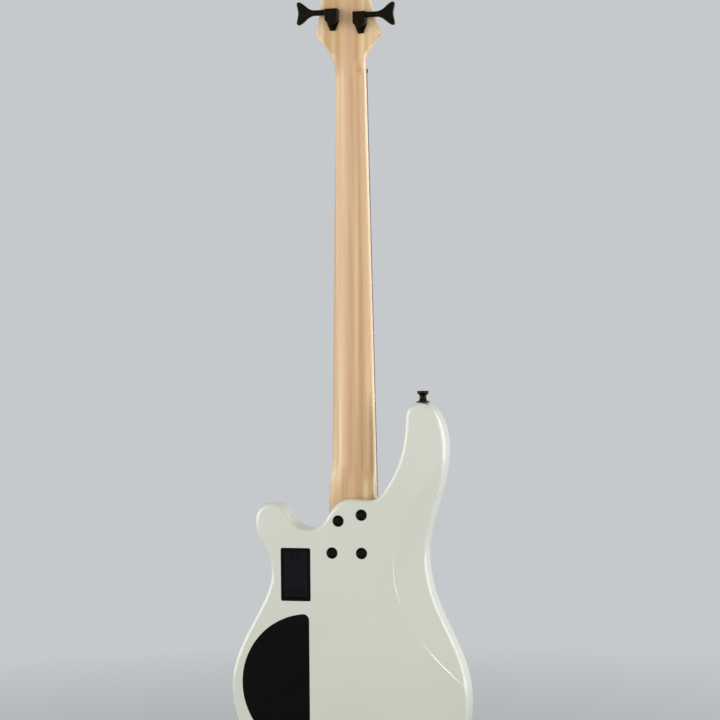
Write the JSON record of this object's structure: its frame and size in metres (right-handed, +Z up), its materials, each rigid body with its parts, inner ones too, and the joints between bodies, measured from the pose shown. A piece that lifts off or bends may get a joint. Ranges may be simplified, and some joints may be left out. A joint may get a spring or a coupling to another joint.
{
  "type": "electric bass guitar",
  "caption": "Solid-body electric bass guitar with bolt-on maple neck, enclosed tuners, active controls with battery box, bridge with sliding saddles and strap buttons.",
  "frame": {"origin": "centre of the tail strap button's rim", "axes": "+Z up the neck to the headstock, +Y out of the front (string side), +X to the bass side"},
  "size_m": [0.3076, 0.062, 1.1363],
  "materials": {
    "body": "gloss",
    "maple": "satin",
    "fingerboard": "satin",
    "steel": "satin",
    "inlay": "gloss",
    "fret_wire": "polished",
    "nut": "satin",
    "black_metal": "satin",
    "black_plastic": "satin",
    "string_steel": "polished",
    "felt": "matte",
    "foam": "matte",
    "board": "satin",
    "battery": "satin",
    "wire": "satin"
  },
  "bodies": {
    "instrument": {"battery_box": "black_plastic", "body": "body", "bridge_pickup": "black_plastic", "bridge_plate": "black_metal", "bridge_screws": "black_metal", "control_cover": "black_plastic", "control_cover_screws": "black_metal", "fingerboard": "fingerboard", "frets": "fret_wire", "headstock_screws": "black_metal", "intonation_screws": "black_metal", "neck": "maple", "neck_ferrules": "black_metal", "neck_pickup": "black_plastic", "neck_screws": "black_metal", "nut": "nut", "output_jack": "black_metal", "pickup_foams": "foam", "pickup_screws": "black_metal", "position_markers": "inlay", "pots": "steel", "preamp_board": "board", "strap_button_felts": "felt", "strap_button_screws": "black_metal", "strap_buttons": "black_metal", "string_a": "string_steel", "string_d": "string_steel", "string_e": "string_steel", "string_g": "string_steel", "string_retainer": "black_metal", "truss_rod": "steel", "truss_rod_cover": "black_plastic", "tuner_bushings": "black_metal", "tuner_housing_a": "black_metal", "tuner_housing_d": "black_metal", "tuner_housing_e": "black_metal", "tuner_housing_g": "black_metal", "wiring": "wire"},
    "key_e": {"tuner_key_e": "black_metal"},
    "post_e": {"tuner_post_e": "black_metal"},
    "saddle_e": {"saddle_e": "black_metal", "saddle_screws_e": "black_metal"},
    "key_a": {"tuner_key_a": "black_metal"},
    "post_a": {"tuner_post_a": "black_metal"},
    "saddle_a": {"saddle_a": "black_metal", "saddle_screws_a": "black_metal"},
    "key_d": {"tuner_key_d": "black_metal"},
    "post_d": {"tuner_post_d": "black_metal"},
    "saddle_d": {"saddle_d": "black_metal", "saddle_screws_d": "black_metal"},
    "key_g": {"tuner_key_g": "black_metal"},
    "post_g": {"tuner_post_g": "black_metal"},
    "saddle_g": {"saddle_g": "black_metal", "saddle_screws_g": "black_metal"},
    "knob_volume": {"knob_volume": "black_metal"},
    "knob_blend": {"knob_blend": "black_metal"},
    "knob_treble": {"knob_treble": "black_metal"},
    "knob_bass": {"knob_bass": "black_metal"},
    "tray": {"battery_tray": "black_plastic", "battery": "battery"}
  },
  "joints": [
    {"name": "key_e_turn", "type": "hinge", "parent": "instrument", "child": "key_e", "pos_m": [0.0178, 0.0005, 1.0189], "axis": [1, 0, 0], "range_deg": [-1080, 1080]},
    {"name": "post_e_turn", "type": "hinge", "parent": "instrument", "child": "post_e", "pos_m": [0.0178, 0.014, 1.0105], "axis": [0, 1, 0], "range_deg": [-54, 54]},
    {"name": "saddle_e_slide", "type": "slide", "parent": "instrument", "child": "saddle_e", "axis": [0, 0, 1], "range_m": [-0.003, 0.006]},
    {"name": "key_a_turn", "type": "hinge", "parent": "instrument", "child": "key_a", "pos_m": [0.009, 0.0005, 1.0799], "axis": [1, 0, 0], "range_deg": [-1080, 1080]},
    {"name": "post_a_turn", "type": "hinge", "parent": "instrument", "child": "post_a", "pos_m": [0.009, 0.014, 1.0715], "axis": [0, 1, 0], "range_deg": [-54, 54]},
    {"name": "saddle_a_slide", "type": "slide", "parent": "instrument", "child": "saddle_a", "axis": [0, 0, 1], "range_m": [-0.003, 0.006]},
    {"name": "key_d_turn", "type": "hinge", "parent": "instrument", "child": "key_d", "pos_m": [-0.0185, 0.0005, 1.0839], "axis": [-1, 0, 0], "range_deg": [-1080, 1080]},
    {"name": "post_d_turn", "type": "hinge", "parent": "instrument", "child": "post_d", "pos_m": [-0.0185, 0.014, 1.0755], "axis": [0, 1, 0], "range_deg": [-54, 54]},
    {"name": "saddle_d_slide", "type": "slide", "parent": "instrument", "child": "saddle_d", "axis": [0, 0, 1], "range_m": [-0.003, 0.006]},
    {"name": "key_g_turn", "type": "hinge", "parent": "instrument", "child": "key_g", "pos_m": [-0.019, 0.0005, 1.0242], "axis": [-1, 0, 0], "range_deg": [-1080, 1080]},
    {"name": "post_g_turn", "type": "hinge", "parent": "instrument", "child": "post_g", "pos_m": [-0.019, 0.014, 1.0158], "axis": [0, 1, 0], "range_deg": [-54, 54]},
    {"name": "saddle_g_slide", "type": "slide", "parent": "instrument", "child": "saddle_g", "axis": [0, 0, 1], "range_m": [-0.003, 0.006]},
    {"name": "knob_volume_turn", "type": "hinge", "parent": "instrument", "child": "knob_volume", "pos_m": [-0.08291, 0.03, 0.22066], "axis": [0, 1, 0], "range_deg": [-150, 150]},
    {"name": "knob_blend_turn", "type": "hinge", "parent": "instrument", "child": "knob_blend", "pos_m": [-0.10483, 0.03, 0.19716], "axis": [0, 1, 0], "range_deg": [-150, 150]},
    {"name": "knob_treble_turn", "type": "hinge", "parent": "instrument", "child": "knob_treble", "pos_m": [-0.11206, 0.03, 0.16583], "axis": [0, 1, 0], "range_deg": [-150, 150]},
    {"name": "knob_bass_turn", "type": "hinge", "parent": "instrument", "child": "knob_bass", "pos_m": [-0.10266, 0.03, 0.13509], "axis": [0, 1, 0], "range_deg": [-150, 150]},
    {"name": "battery_tray_hinge", "type": "hinge", "parent": "instrument", "child": "tray", "pos_m": [-0.06725, -0.01975, 0.2788], "axis": [1, 0, 0], "range_deg": [0, 65]}
  ],
  "couplings": [
    {"joint": "post_e_turn", "follows": "key_e_turn", "ratio": 0.05},
    {"joint": "post_a_turn", "follows": "key_a_turn", "ratio": 0.05},
    {"joint": "post_d_turn", "follows": "key_d_turn", "ratio": -0.05},
    {"joint": "post_g_turn", "follows": "key_g_turn", "ratio": -0.05}
  ]
}
